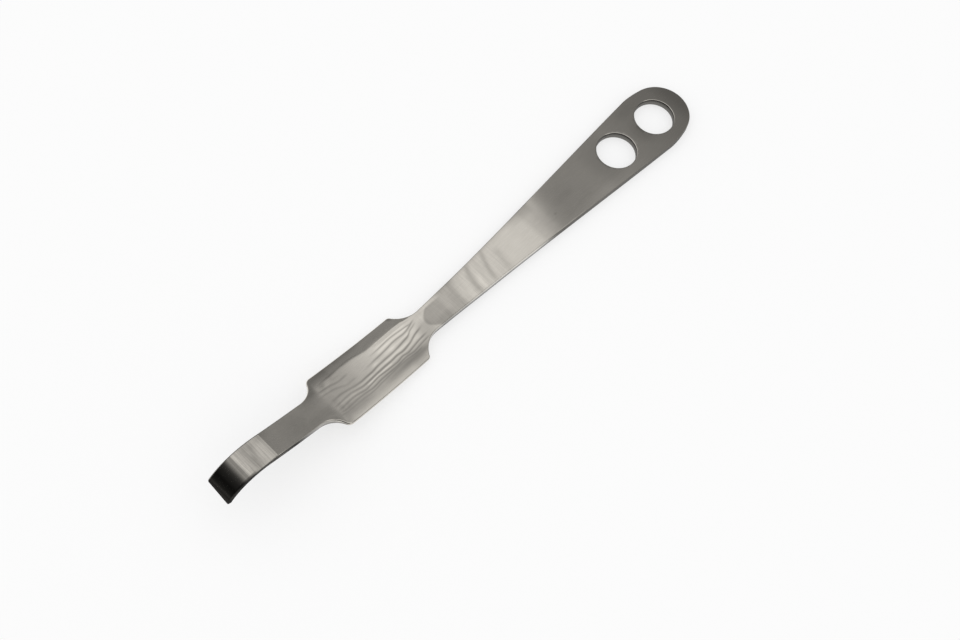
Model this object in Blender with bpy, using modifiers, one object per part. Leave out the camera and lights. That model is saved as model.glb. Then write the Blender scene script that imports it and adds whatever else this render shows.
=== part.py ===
"""Bone elevator: a flat handle with two holes, a crowned blade with scalloped shoulders and a hooked tip.

The instrument is forged from one piece of stainless steel, so it is one object. Its body is lofted along a
spine that runs straight through the handle, sweeps up under the blade and turns down into the hook. Run it
with Blender. Lengths are metres, +X points from the handle to the tip and +Z is up. The origin is on the
handle's underside, midway between the two holes.
"""

import math

import bmesh
import bpy
from mathutils import Vector

MM = 0.001

# Handle
HANDLE_LENGTH = 143.8 * MM  # from the round end to the narrowest place of the neck
HANDLE_WIDTH = 26.6 * MM
HANDLE_THICKNESS = 3.1 * MM
END_RADIUS = 12.5 * MM
END_ARC = math.radians(80.0)  # how far the round end turns before it opens out
WIDEST_AT = 19.0 * MM  # from the round end to the widest place
FLANK_HOLLOW = 0.55 * MM  # how far the flanks draw in from a straight taper, most of all near the neck
EDGE_ROUNDING = 0.35 * MM

# Holes in the handle
HOLE_DIAMETER = 16.0 * MM
HOLE_SPACING = 23.0 * MM
END_TO_HOLE = 15.4 * MM
HOLE_CHAMFER = 0.4 * MM

# Neck
NECK_WIDTH = 10.0 * MM
NECK_THICKNESS = 2.9 * MM
NECK_LEVEL_RUN = 28.0 * MM  # the last stretch of the handle, over which it thins and rises
NECK_RISE = 0.7 * MM

# Blade
BLADE_LENGTH = 39.5 * MM  # from shoulder corner to shoulder corner
BLADE_NEAR_WIDTH = 21.7 * MM
BLADE_FAR_WIDTH = 22.4 * MM
BLADE_THICKNESS = 2.3 * MM
BLADE_EDGE = 0.9 * MM
CROWN_NEAR = 2.1 * MM  # how far the blade's edges lie below its middle
CROWN_FAR = 1.7 * MM
CROWN_RUN_OUT = 11.0 * MM  # the crown fades out over this length past each shoulder
NEAR_SCALLOP_RADIUS = 9.4 * MM
FAR_SCALLOP_RADIUS = 9.0 * MM
NEAR_CORNER_RADIUS = 0.9 * MM
FAR_CORNER_RADIUS = 1.7 * MM

# Tongue and hook
TONGUE_WIDTH = 10.3 * MM
TONGUE_LENGTH = 43.6 * MM  # from the end of the far scallop to the tip
TONGUE_THICKNESS = 2.6 * MM
TIP_WIDTH = 10.2 * MM
TIP_THICKNESS = 2.6 * MM
TIP_BEVEL_LENGTH = 1.6 * MM
TIP_BEVEL_DROP = 0.55 * MM
HOOK_LENGTH = 22.1 * MM
HOOK_CREST_LENGTH = 11.0 * MM
CREST_RADIUS = 21.0 * MM
BEAK_RADIUS = 16.0 * MM

# Sweep of the blade and tongue
SWEEP_RADIUS = 222.0 * MM
SWEEP_LEAD = 5.8 * MM  # the sweep starts this far before the narrowest place of the neck

# Fineness of the loft
ROUND_END_STEPS = 14
OPENING_STEPS = 3
FLANK_STEPS = 10
SCALLOP_STEPS = 7
CORNER_STEPS = 3
BLADE_STEPS = 12
TONGUE_STEPS = 5
HOOK_STEPS = 12
HOLLOW_PEAK = (2.0 / 3.0) ** 2 / 3.0  # the highest value of a squared share times the rest
RIB_SHARES = (0.0, 0.3, 0.55, 0.78, 1.0)  # of the half width, from the middle to the edge
BEVEL_SEGMENTS = 2
HOLE_SEGMENTS = 48
CUTTER_OVERRUN = 1.0 * MM
MERGE_DISTANCE = 0.00001
FLAT_TOLERANCE = math.radians(0.05)  # faces that meet more flatly than this count as one
BEVEL_ANGLE = math.radians(50.0)
SHARP_ANGLE = math.radians(40.0)

STEEL_COLOUR = (0.42, 0.41, 0.39, 1.0)
STEEL_ROUGHNESS = 0.3


def smooth_step(value: float) -> float:
    """Rises from 0 to 1 with level ends, for a value from 0 to 1."""
    value = min(max(value, 0.0), 1.0)
    return value * value * (3.0 - 2.0 * value)


def blend(start: float, end: float, share: float) -> float:
    """Gives the value a share of the way from start to end."""
    return start + (end - start) * share


class Bend:
    """A stretch of the spine with one radius: positive turns up, negative turns down, none is straight."""

    def __init__(self, length: float, radius: float | None):
        self.length = length
        self.radius = radius

    def advance(self, distance: float, slope: float) -> tuple[float, float, float]:
        """Gives the change in x and z and the new slope angle after a distance along the stretch."""
        if self.radius is None:
            return distance * math.cos(slope), distance * math.sin(slope), slope
        end = slope + distance / self.radius
        run = self.radius * (math.sin(end) - math.sin(slope))
        rise = self.radius * (math.cos(slope) - math.cos(end))
        return run, rise, end


class Outline:
    """Half of the plan outline, as points at a distance along the spine and a half width."""

    def __init__(self):
        self.points: list[tuple[float, float]] = []

    def add(self, along: float, half_width: float) -> None:
        """Adds a point, unless the last one is at the same place along the spine."""
        if not self.points or along > self.points[-1][0] + MERGE_DISTANCE:
            self.points.append((along, half_width))


class Shoulder:
    """One end of the blade: a scallop from the inner half width up to the corner at the outer one.

    The sense is 1 where the scallop comes before the blade, on the neck's side, and -1 where it comes after.
    """

    def __init__(self, sense: int, widths: tuple[float, float], scallop_radius: float, corner_radius: float):
        self.sense = sense
        self.inner = widths[0] / 2
        self.outer = widths[1] / 2
        self.corner_radius = corner_radius
        self.scallop_radius = max(scallop_radius, self.outer - self.inner)
        self.sweep = math.acos(1.0 - (self.outer - self.inner) / self.scallop_radius)
        self.length = self.scallop_radius * math.sin(self.sweep)
        self.corner_at = 0.0


NEAR_SHOULDER = Shoulder(1, (NECK_WIDTH, BLADE_NEAR_WIDTH), NEAR_SCALLOP_RADIUS, NEAR_CORNER_RADIUS)
FAR_SHOULDER = Shoulder(-1, (TONGUE_WIDTH, BLADE_FAR_WIDTH), FAR_SCALLOP_RADIUS, FAR_CORNER_RADIUS)
BLADE_START = NEAR_SHOULDER.corner_at = HANDLE_LENGTH + NEAR_SHOULDER.length
BLADE_END = FAR_SHOULDER.corner_at = BLADE_START + BLADE_LENGTH
TONGUE_START = BLADE_END + FAR_SHOULDER.length
TIP_AT = TONGUE_START + TONGUE_LENGTH
HOOK_START = TIP_AT - HOOK_LENGTH
SWEEP_START = HANDLE_LENGTH - SWEEP_LEAD
ORIGIN_AT = END_TO_HOLE + HOLE_SPACING / 2

SPINE = (
    Bend(SWEEP_START, None),
    Bend(HOOK_START - SWEEP_START, SWEEP_RADIUS),
    Bend(HOOK_CREST_LENGTH, -CREST_RADIUS),
    Bend(HOOK_LENGTH - HOOK_CREST_LENGTH, -BEAK_RADIUS),
)


def spine_point(along: float) -> tuple[float, float, float]:
    """The x, z and slope angle of the middle of the top face at a distance from the round end."""
    x, z, slope = -ORIGIN_AT, HANDLE_THICKNESS, 0.0
    left = along
    for bend in SPINE:
        distance = min(left, bend.length)
        run, rise, slope = bend.advance(distance, slope)
        x, z, left = x + run, z + rise, left - distance
    neck_share = (along - (HANDLE_LENGTH - NECK_LEVEL_RUN)) / NECK_LEVEL_RUN
    return x, z + NECK_RISE * smooth_step(neck_share), slope


def crown_at(along: float) -> float:
    """How far a point at the blade's half width lies below the middle, at a distance from the round end."""
    share = (along - BLADE_START) / BLADE_LENGTH
    crown = blend(CROWN_NEAR, CROWN_FAR, min(max(share, 0.0), 1.0))
    fade_in = smooth_step(1.0 - (BLADE_START - along) / CROWN_RUN_OUT)
    fade_out = smooth_step(1.0 - (along - BLADE_END) / CROWN_RUN_OUT)
    return crown * fade_in * fade_out


def thickness_at(along: float) -> tuple[float, float]:
    """The thickness in the middle, and how much less it is at the blade's edge."""
    to_neck = smooth_step((along - (HANDLE_LENGTH - NECK_LEVEL_RUN)) / NECK_LEVEL_RUN)
    to_blade = smooth_step((along - HANDLE_LENGTH) / (BLADE_START - HANDLE_LENGTH))
    to_tongue = smooth_step((along - BLADE_END) / (TONGUE_START - BLADE_END))
    to_tip = min(max((along - HOOK_START) / HOOK_LENGTH, 0.0), 1.0)
    middle = blend(HANDLE_THICKNESS, NECK_THICKNESS, to_neck)
    middle = blend(middle, BLADE_THICKNESS, to_blade)
    middle = blend(middle, TONGUE_THICKNESS, to_tongue)
    middle = blend(middle, TIP_THICKNESS, to_tip)
    thinning = (BLADE_THICKNESS - BLADE_EDGE) * to_blade * (1.0 - to_tongue)
    return middle, thinning


def add_round_end(outline: Outline) -> None:
    """The round end, an arc that opens out to the widest place of the handle."""
    for step in range(ROUND_END_STEPS + 1):
        angle = END_ARC * step / ROUND_END_STEPS
        outline.add(END_RADIUS * (1.0 - math.cos(angle)), END_RADIUS * math.sin(angle))
    arc_along, arc_half_width = outline.points[-1]
    for step in range(1, OPENING_STEPS + 1):
        share = step / OPENING_STEPS
        ease = 1.0 - (1.0 - share) ** 2
        outline.add(blend(arc_along, WIDEST_AT, share), blend(arc_half_width, HANDLE_WIDTH / 2, ease))


def add_flank(outline: Outline) -> None:
    """The long taper to the neck, slightly drawn in."""
    for step in range(1, FLANK_STEPS + 1):
        share = step / FLANK_STEPS
        straight = blend(HANDLE_WIDTH, NECK_WIDTH, share) / 2
        hollow = FLANK_HOLLOW * share**2 * (1.0 - share) / HOLLOW_PEAK
        outline.add(blend(WIDEST_AT, HANDLE_LENGTH, share), straight - hollow)


def add_shoulder(outline: Outline, shoulder: Shoulder) -> None:
    """A scallop and the rounded corner of the blade that it runs up to."""
    radius, sense = shoulder.scallop_radius, shoulder.sense
    bottom = shoulder.corner_at - sense * radius * math.sin(shoulder.sweep)
    trim = shoulder.corner_radius * math.tan(shoulder.sweep / 2)
    sweep = shoulder.sweep - trim / radius
    curve = []
    for step in range(SCALLOP_STEPS + 1):
        angle = sweep * step / SCALLOP_STEPS
        across = shoulder.inner + radius * (1.0 - math.cos(angle))
        curve.append((bottom + sense * radius * math.sin(angle), across))
    start = curve[-1]
    corner = (shoulder.corner_at, shoulder.outer)
    end = (shoulder.corner_at + sense * trim, shoulder.outer)
    for step in range(1, CORNER_STEPS + 1):
        share = step / CORNER_STEPS
        inward = [blend(value, turn, share) for value, turn in zip(start, corner)]
        outward = [blend(turn, value, share) for turn, value in zip(corner, end)]
        curve.append(tuple(blend(first, second, share) for first, second in zip(inward, outward)))
    for along, across in curve[::sense]:
        outline.add(along, across)


def add_blade_sides(outline: Outline) -> None:
    """The blade's long sides, which open a little towards the tip."""
    for step in range(1, BLADE_STEPS):
        share = step / BLADE_STEPS
        outline.add(blend(BLADE_START, BLADE_END, share), blend(BLADE_NEAR_WIDTH, BLADE_FAR_WIDTH, share) / 2)


def add_tongue(outline: Outline) -> None:
    """The tongue and the hook's sides, up to the tip."""
    for step in range(1, TONGUE_STEPS + 1):
        outline.add(blend(TONGUE_START, HOOK_START, step / TONGUE_STEPS), TONGUE_WIDTH / 2)
    bevel_start = TIP_AT - TIP_BEVEL_LENGTH
    for step in range(1, HOOK_STEPS + 1):
        share = step / HOOK_STEPS
        outline.add(blend(HOOK_START, bevel_start, share), blend(TONGUE_WIDTH, TIP_WIDTH, share) / 2)
    outline.add(TIP_AT, TIP_WIDTH / 2)


def plan_outline() -> list[tuple[float, float]]:
    """Half of the instrument's outline, as if it were laid out flat along its spine."""
    outline = Outline()
    add_round_end(outline)
    add_flank(outline)
    add_shoulder(outline, NEAR_SHOULDER)
    add_blade_sides(outline)
    add_shoulder(outline, FAR_SHOULDER)
    add_tongue(outline)
    return outline.points


def section(along: float, half_width: float) -> list[Vector]:
    """Half a cross-section, square to the spine: the top from the middle to the edge, then back below."""
    x, z, slope = spine_point(along)
    crown = crown_at(along)
    thickness, thinning = thickness_at(along)
    bevel_drop = TIP_BEVEL_DROP * max(0.0, 1.0 - (TIP_AT - along) / TIP_BEVEL_LENGTH)
    top, bottom = [], []
    for share in RIB_SHARES:
        across = half_width * share
        blade_share = across / (BLADE_NEAR_WIDTH / 2)
        height = -crown * blade_share**2
        depth = height - (thickness - thinning * min(blade_share, 1.0) ** 2)
        height -= bevel_drop
        top.append(Vector((x - height * math.sin(slope), across, z + height * math.cos(slope))))
        bottom.append(Vector((x - depth * math.sin(slope), across, z + depth * math.cos(slope))))
    return top + bottom[::-1]


def handle_flat_end() -> float:
    """The x at which the handle's flat faces end."""
    return HANDLE_LENGTH - NECK_LEVEL_RUN - ORIGIN_AT


def loft_half(name: str) -> bpy.types.Mesh:
    """Joins the half sections into a shell that is open at the plane of symmetry."""
    mesh = bpy.data.meshes.new(name)
    shell = bmesh.new()
    rings = [[shell.verts.new(point) for point in section(*station)] for station in plan_outline()]
    for near, far in zip(rings, rings[1:]):
        for index in range(len(near) - 1):
            shell.faces.new((near[index], far[index], far[index + 1], near[index + 1]))
    tip = rings[-1]
    for index in range(len(RIB_SHARES) - 1):
        shell.faces.new((tip[index], tip[-1 - index], tip[-2 - index], tip[index + 1]))
    bmesh.ops.remove_doubles(shell, verts=shell.verts, dist=MERGE_DISTANCE)
    bmesh.ops.dissolve_degenerate(shell, edges=shell.edges, dist=MERGE_DISTANCE)
    bmesh.ops.recalc_face_normals(shell, faces=shell.faces)
    flat_edges = [edge for edge in shell.edges if max(vert.co.x for vert in edge.verts) < handle_flat_end()]
    flat_verts = list({vert for edge in flat_edges for vert in edge.verts})
    bmesh.ops.dissolve_limit(shell, angle_limit=FLAT_TOLERANCE, verts=flat_verts, edges=flat_edges)
    shell.to_mesh(mesh)
    shell.free()
    return mesh


def steel() -> bpy.types.Material:
    """Satin stainless steel."""
    material = bpy.data.materials.new("satin_steel")
    material.use_nodes = True
    shader = material.node_tree.nodes["Principled BSDF"]
    shader.inputs["Base Color"].default_value = STEEL_COLOUR
    shader.inputs["Metallic"].default_value = 1.0
    shader.inputs["Roughness"].default_value = STEEL_ROUGHNESS
    return material


def hole_cutter(name: str, x: float, collection: bpy.types.Collection) -> bpy.types.Object:
    """A turned cutter for one hole, which also breaks the hole's two rims with a chamfer."""
    radius = HOLE_DIAMETER / 2
    flare = radius + HOLE_CHAMFER + CUTTER_OVERRUN
    high = HANDLE_THICKNESS + CUTTER_OVERRUN
    profile = [
        (0.0, high),
        (flare, high),
        (radius, HANDLE_THICKNESS - HOLE_CHAMFER),
        (radius, HOLE_CHAMFER),
        (flare, -CUTTER_OVERRUN),
        (0.0, -CUTTER_OVERRUN),
    ]
    mesh = bpy.data.meshes.new(name)
    edges = [(index, index + 1) for index in range(len(profile) - 1)]
    mesh.from_pydata([(across, 0.0, height) for across, height in profile], edges, [])
    cutter = bpy.data.objects.new(name, mesh)
    cutter.location.x = x
    cutter.hide_render = True
    cutter.display_type = "WIRE"
    turn = cutter.modifiers.new("turn", "SCREW")
    turn.steps = HOLE_SEGMENTS
    turn.render_steps = HOLE_SEGMENTS
    turn.use_merge_vertices = True
    turn.merge_threshold = MERGE_DISTANCE
    collection.objects.link(cutter)
    return cutter


def build_elevator() -> bpy.types.Object:
    """Builds the whole instrument and its two hole cutters."""
    parts = bpy.data.collections.new("bone_elevator")
    cutters = bpy.data.collections.new("cutters")
    for collection in (parts, cutters):
        bpy.context.scene.collection.children.link(collection)

    mesh = loft_half("bone_elevator")
    mesh.materials.append(steel())
    elevator = bpy.data.objects.new("bone_elevator", mesh)
    parts.objects.link(elevator)

    mirror = elevator.modifiers.new("symmetry", "MIRROR")
    mirror.use_axis = (False, True, False)
    mirror.merge_threshold = MERGE_DISTANCE

    rounding = elevator.modifiers.new("rounded_edges", "BEVEL")
    rounding.width = EDGE_ROUNDING
    rounding.segments = BEVEL_SEGMENTS
    rounding.limit_method = "ANGLE"
    rounding.angle_limit = BEVEL_ANGLE

    for label, side in (("end_hole", -1), ("neck_hole", 1)):
        cutter = hole_cutter(f"{label}_cutter", side * HOLE_SPACING / 2, cutters)
        cut = elevator.modifiers.new(label, "BOOLEAN")
        cut.operation = "DIFFERENCE"
        cut.solver = "EXACT"
        cut.object = cutter

    mesh.shade_smooth()
    mesh.set_sharp_from_angle(angle=SHARP_ANGLE)
    return elevator


def main() -> None:
    """Clears the scene and builds the instrument."""
    for item in list(bpy.data.objects):
        bpy.data.objects.remove(item)
    build_elevator()


if __name__ == "__main__":
    main()
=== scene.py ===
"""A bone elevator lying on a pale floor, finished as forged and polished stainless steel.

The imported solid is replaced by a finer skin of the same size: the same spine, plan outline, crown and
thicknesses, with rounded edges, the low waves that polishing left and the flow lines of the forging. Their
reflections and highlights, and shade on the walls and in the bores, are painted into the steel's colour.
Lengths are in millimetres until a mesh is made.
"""

import logging
import math
from collections.abc import Callable
from dataclasses import dataclass, field
from enum import Enum

import bmesh
import bpy
import numpy as np
from mathutils import Matrix, Vector


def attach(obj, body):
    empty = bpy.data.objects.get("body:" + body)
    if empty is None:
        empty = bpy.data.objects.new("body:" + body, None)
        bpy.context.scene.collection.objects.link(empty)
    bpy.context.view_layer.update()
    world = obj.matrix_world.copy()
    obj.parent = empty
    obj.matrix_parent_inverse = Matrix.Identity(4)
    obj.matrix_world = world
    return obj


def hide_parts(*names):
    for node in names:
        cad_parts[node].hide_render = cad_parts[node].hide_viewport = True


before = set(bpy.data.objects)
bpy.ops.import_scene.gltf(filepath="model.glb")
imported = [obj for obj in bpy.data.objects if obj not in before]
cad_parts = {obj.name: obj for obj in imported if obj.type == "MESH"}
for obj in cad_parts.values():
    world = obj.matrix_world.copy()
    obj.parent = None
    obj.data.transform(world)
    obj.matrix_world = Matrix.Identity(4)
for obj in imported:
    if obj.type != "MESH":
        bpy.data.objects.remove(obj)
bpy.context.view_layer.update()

LOG = logging.getLogger("bone_elevator")
MM = 0.001
NODE_NAME = "bone_elevator"

# The first mark is painted reflection, highlight and shade with a few real specks; the second is real grinding grain.
MARKS = ("burnish", "cross_grain")
PATH_OVERRUN = 2.0
PATH_STEP = 0.25
PATH_SMOOTHING = 9
CORNER_POINTS = 9
SAME_POINT = 0.000001
NO_LENGTH = 0.0000005

Array = np.ndarray
Ramp = tuple[float, float]
Fade = tuple[float, float, float, float]
Path = tuple[Ramp, ...]
Corners = list[list[tuple[float, float, float]]]


class Surface(Enum):
    """The differently finished faces of the instrument, by material slot."""

    TOP = 0
    SIDE = 1
    BORE = 2
    UNDERSIDE = 3


def smooth_step(value: Array) -> Array:
    """Rises from 0 to 1 with level ends, for values from 0 to 1."""
    value = np.clip(value, 0.0, 1.0)
    return value * value * (3.0 - 2.0 * value)


def rise(value: Array, start: float, end: float) -> Array:
    """Rises from 0 at start to 1 at end with level ends, or falls where end is less than start."""
    return smooth_step((value - start) / (end - start))


def hump(value: Array, centre: float, half_width: float) -> Array:
    """A bell of height 1 round the centre."""
    return np.exp(-(((value - centre) / half_width) ** 2))


def follow(path: Path | Array, value: Array) -> Array:
    """Reads a path of places and levels at each value, with straight lines between its knots."""
    knots = np.array(path)
    return np.interp(value, knots[:, 0], knots[:, 1])


def towards(level: Array, share: Array) -> Array:
    """A factor that goes from 1 to the level as the share goes from 0 to 1."""
    return 1.0 + (level - 1.0) * share


def straight(start: Ramp, end: Ramp, steps: int) -> list[Ramp]:
    """Points at even steps from the start, which is left out, to the end."""
    return [tuple(a + (b - a) * share for a, b in zip(start, end)) for share in np.linspace(0.0, 1.0, steps + 1)[1:]]


def place_object(name: str, data: bpy.types.ID) -> bpy.types.Object:
    """Makes an object of the data and puts it in the scene."""
    item = bpy.data.objects.new(name, data)
    bpy.context.scene.collection.objects.link(item)
    return item


def node_material(name: str) -> bpy.types.Material:
    """Makes a material with nodes that throws no light of its own on other things."""
    material = bpy.data.materials.new(name)
    material.use_nodes = True
    material.cycles.emission_sampling = "NONE"
    return material


@dataclass(frozen=True)
class Bend:
    """A stretch of the spine with one radius: positive turns up, negative turns down, none is straight."""

    length: float
    radius: float | None


@dataclass(frozen=True)
class Handle:
    """Sizes of the flat handle."""

    length: float = 143.8
    width: float = 26.6
    thickness: float = 3.1
    end_radius: float = 12.5
    end_arc: float = math.radians(80.0)
    widest_at: float = 19.0
    flank_hollow: float = 0.55
    hole_diameter: float = 16.0
    hole_spacing: float = 23.0
    end_to_hole: float = 15.4
    hole_rounding: float = 0.33
    hole_rounding_below: float = 0.12
    hollow_scale: float = 27.0 / 4.0
    arc_points: int = 41
    coarse_step: float = 1.5
    fine_from: float = 76.0
    fine_rows: int = 112

    @property
    def origin_at(self) -> float:
        """The origin's distance from the round end: midway between the holes."""
        return self.end_to_hole + self.hole_spacing / 2

    def half_outline(self, neck_width: float) -> list[tuple[float, float]]:
        """Lays out one edge of the handle, from the round end to the neck.

        Args:
            neck_width: The width at the narrowest place of the neck.

        Returns:
            Points at a distance along the spine and a half width.
        """
        points = [(self.end_radius * (1.0 - math.cos(angle)), self.end_radius * math.sin(angle))
                  for angle in np.linspace(0.0, self.end_arc, self.arc_points)]
        arc_along, arc_half = points[-1]
        for share in np.linspace(0.0, 1.0, CORNER_POINTS)[1:]:
            ease = 1.0 - (1.0 - share) ** 2
            half = arc_half + (self.width / 2 - arc_half) * ease
            points.append((arc_along + (self.widest_at - arc_along) * share, half))
        coarse = np.arange(self.widest_at + self.coarse_step, self.fine_from, self.coarse_step)
        fine = np.linspace(self.fine_from, self.length, self.fine_rows)
        for along in [*coarse, *fine]:
            share = (along - self.widest_at) / (self.length - self.widest_at)
            straight = (self.width + (neck_width - self.width) * share) / 2
            hollow = self.flank_hollow * share**2 * (1.0 - share) * self.hollow_scale
            points.append((along, straight - hollow))
        return points


@dataclass(frozen=True)
class Shoulder:
    """One end of the blade: a scallop from the inner half width up to the rounded corner at the outer one."""

    sense: int
    inner: float
    outer: float
    scallop_radius: float
    corner_radius: float
    scallop_points: int = 31

    @property
    def sweep(self) -> float:
        """The angle that the scallop turns through."""
        return math.acos(1.0 - (self.outer - self.inner) / self.scallop_radius)

    @property
    def length(self) -> float:
        """The scallop's length along the spine."""
        return self.scallop_radius * math.sin(self.sweep)

    def half_outline(self, corner_at: float) -> list[tuple[float, float]]:
        """Lays out the scallop and the corner in the order of the spine.

        Args:
            corner_at: Where along the spine the corner would be if it were sharp.

        Returns:
            Points at a distance along the spine and a half width.
        """
        bottom = corner_at - self.sense * self.length
        trim = self.corner_radius * math.tan(self.sweep / 2)
        curve = []
        for angle in np.linspace(0.0, self.sweep - trim / self.scallop_radius, self.scallop_points):
            across = self.inner + self.scallop_radius * (1.0 - math.cos(angle))
            curve.append(np.array((bottom + self.sense * self.scallop_radius * math.sin(angle), across)))
        start, corner = curve[-1], np.array((corner_at, self.outer))
        end = np.array((corner_at + self.sense * trim, self.outer))
        for share in np.linspace(0.0, 1.0, CORNER_POINTS)[1:]:
            curve.append((1 - share) ** 2 * start + 2 * share * (1 - share) * corner + share**2 * end)
        return [(float(along), float(across)) for along, across in curve[:: self.sense]]


@dataclass(frozen=True)
class Blade:
    """Sizes of the crowned blade and of the neck and tongue that it runs into."""

    neck_width: float = 10.0
    neck_thickness: float = 2.9
    neck_level_run: float = 28.0
    neck_rise: float = 0.7
    length: float = 39.5
    near_width: float = 21.7
    far_width: float = 22.4
    thickness: float = 2.3
    edge: float = 0.9
    crown_near: float = 2.1
    crown_far: float = 1.7
    crown_run_out: float = 11.0
    tongue_width: float = 10.3
    tongue_length: float = 43.6
    tongue_thickness: float = 2.6

    @property
    def near_shoulder(self) -> Shoulder:
        """The shoulder on the neck's side."""
        return Shoulder(1, self.neck_width / 2, self.near_width / 2, 9.4, 1.3)

    @property
    def far_shoulder(self) -> Shoulder:
        """The shoulder on the tongue's side."""
        return Shoulder(-1, self.tongue_width / 2, self.far_width / 2, 9.0, 2.5)


@dataclass(frozen=True)
class Hook:
    """Sizes of the hook and its blunt tip."""

    length: float = 22.1
    crest_length: float = 11.0
    crest_radius: float = 21.0
    beak_radius: float = 16.0
    tip_width: float = 10.2
    tip_thickness: float = 2.2
    tip_bevel_length: float = 1.6
    tip_bevel_drop: float = 0.55
    tip_bevel_curve: float = 1.3
    tip_corner: float = 0.35
    tip_skew: float = 0.088
    skew_from: float = 5.5
    skew_run: float = 2.6


@dataclass(frozen=True)
class Form:
    """The whole forging: where its parts follow each other along the spine, and its height at each place."""

    handle: Handle = field(default_factory=Handle)
    blade: Blade = field(default_factory=Blade)
    hook: Hook = field(default_factory=Hook)
    sweep_radius: float = 222.0
    sweep_lead: float = 5.8
    blade_rows: int = 76
    tongue_rows: int = 54
    hook_rows: int = 72
    search_stations: int = 2000
    search_rounds: int = 6
    search_step: float = 0.8

    @property
    def blade_start(self) -> float:
        """Where the near corners of the blade are."""
        return self.handle.length + self.blade.near_shoulder.length

    @property
    def blade_end(self) -> float:
        """Where the far corners of the blade are."""
        return self.blade_start + self.blade.length

    @property
    def tongue_start(self) -> float:
        """Where the far scallops end."""
        return self.blade_end + self.blade.far_shoulder.length

    @property
    def tip_at(self) -> float:
        """The length of the spine."""
        return self.tongue_start + self.blade.tongue_length

    @property
    def hook_start(self) -> float:
        """Where the tongue begins to turn down."""
        return self.tip_at - self.hook.length

    def bends(self) -> tuple[Bend, ...]:
        """The stretches of the spine, from the round end to the tip."""
        sweep_start = self.handle.length - self.sweep_lead
        return (
            Bend(sweep_start, None),
            Bend(self.hook_start - sweep_start, self.sweep_radius),
            Bend(self.hook.crest_length, -self.hook.crest_radius),
            Bend(self.hook.length - self.hook.crest_length, -self.hook.beak_radius),
        )

    def skewed(self, along: Array, across: Array) -> Array:
        """Draws the tip's end back towards one side, because it is ground a little askew."""
        into_tip = np.clip((along - self.tip_at + self.hook.skew_run) / self.hook.skew_run, 0.0, 1.0)
        return along - self.hook.tip_skew * (self.hook.skew_from - across) * into_tip

    def spine(self, along: Array) -> tuple[Array, Array, Array]:
        """Follows the middle of the top face.

        Args:
            along: Distances from the round end.

        Returns:
            The x, the z and the slope angle at each distance.
        """
        x = np.full_like(along, -self.handle.origin_at)
        z = np.full_like(along, self.handle.thickness)
        slope = np.zeros_like(along)
        left = np.array(along, dtype=float)
        for bend in self.bends():
            distance = np.minimum(left, bend.length)
            left = left - distance
            if bend.radius is None:
                x, z = x + distance * np.cos(slope), z + distance * np.sin(slope)
                continue
            turned = slope + distance / bend.radius
            x = x + bend.radius * (np.sin(turned) - np.sin(slope))
            z = z + bend.radius * (np.cos(slope) - np.cos(turned))
            slope = turned
        level_end = self.handle.length - self.blade.neck_level_run
        return x, z + self.blade.neck_rise * rise(along, level_end, self.handle.length), slope

    def crown(self, along: Array) -> Array:
        """How far a point at the blade's half width lies below the middle."""
        share = np.clip((along - self.blade_start) / self.blade.length, 0.0, 1.0)
        crown = self.blade.crown_near + (self.blade.crown_far - self.blade.crown_near) * share
        fade_in = smooth_step(1.0 - (self.blade_start - along) / self.blade.crown_run_out)
        fade_out = smooth_step(1.0 - (along - self.blade_end) / self.blade.crown_run_out)
        return crown * fade_in * fade_out

    def thickness(self, along: Array, across: Array) -> Array:
        """The thickness at each point, which gets less towards the blade's edges."""
        to_neck = rise(along, self.handle.length - self.blade.neck_level_run, self.handle.length)
        to_blade = rise(along, self.handle.length, self.blade_start)
        to_tongue = rise(along, self.blade_end, self.tongue_start)
        to_tip = np.clip((along - self.hook_start) / self.hook.length, 0.0, 1.0)
        middle = self.handle.thickness
        for share, thickness in ((to_neck, self.blade.neck_thickness), (to_blade, self.blade.thickness),
                                 (to_tongue, self.blade.tongue_thickness), (to_tip, self.hook.tip_thickness)):
            middle = middle + (thickness - middle) * share
        thinning = (self.blade.thickness - self.blade.edge) * to_blade * (1.0 - to_tongue)
        return middle - thinning * np.minimum(self.blade_share(across), 1.0) ** 2

    def blade_share(self, across: Array) -> Array:
        """How far out a point lies, where 1 is the edge of the blade's near end."""
        return np.abs(across) / (self.blade.near_width / 2)

    def top_height(self, along: Array, across: Array) -> Array:
        """The height of the plain top face over the spine."""
        into_bevel = np.clip(1.0 - (self.tip_at - along) / self.hook.tip_bevel_length, 0.0, 1.0)
        bevel = self.hook.tip_bevel_drop * into_bevel**self.hook.tip_bevel_curve
        return -self.crown(along) * self.blade_share(across) ** 2 - bevel

    def bottom_height(self, along: Array, across: Array) -> Array:
        """The height of the underside over the spine, which is negative."""
        return -self.crown(along) * self.blade_share(across) ** 2 - self.thickness(along, across)

    def place(self, along: Array, across: Array, height: Array) -> Array:
        """Turns distances along, across and over the spine into points in the part's frame.

        Args:
            along: Distances along the spine.
            across: Distances to the side.
            height: Heights square to the spine.

        Returns:
            An array of points, in millimetres.
        """
        x, z, slope = self.spine(self.skewed(along, across))
        return np.stack((x - height * np.sin(slope), across, z + height * np.cos(slope)), axis=-1)

    def unroll(self, points: Array) -> tuple[Array, Array]:
        """Finds how far along and across the spine each point lies.

        Args:
            points: Points in the part's frame, in millimetres.

        Returns:
            The distances along the spine and the distances to the side.
        """
        table = np.linspace(0.0, self.tip_at, self.search_stations)
        table_x, _, _ = self.spine(table)
        along = np.interp(points[:, 0], table_x, table)
        for _ in range(self.search_rounds):
            x, z, slope = self.spine(along)
            step = (points[:, 0] - x) * np.cos(slope) + (points[:, 2] - z) * np.sin(slope)
            along = np.clip(along + self.search_step * step, 0.0, self.tip_at)
        return along, points[:, 1]

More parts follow.
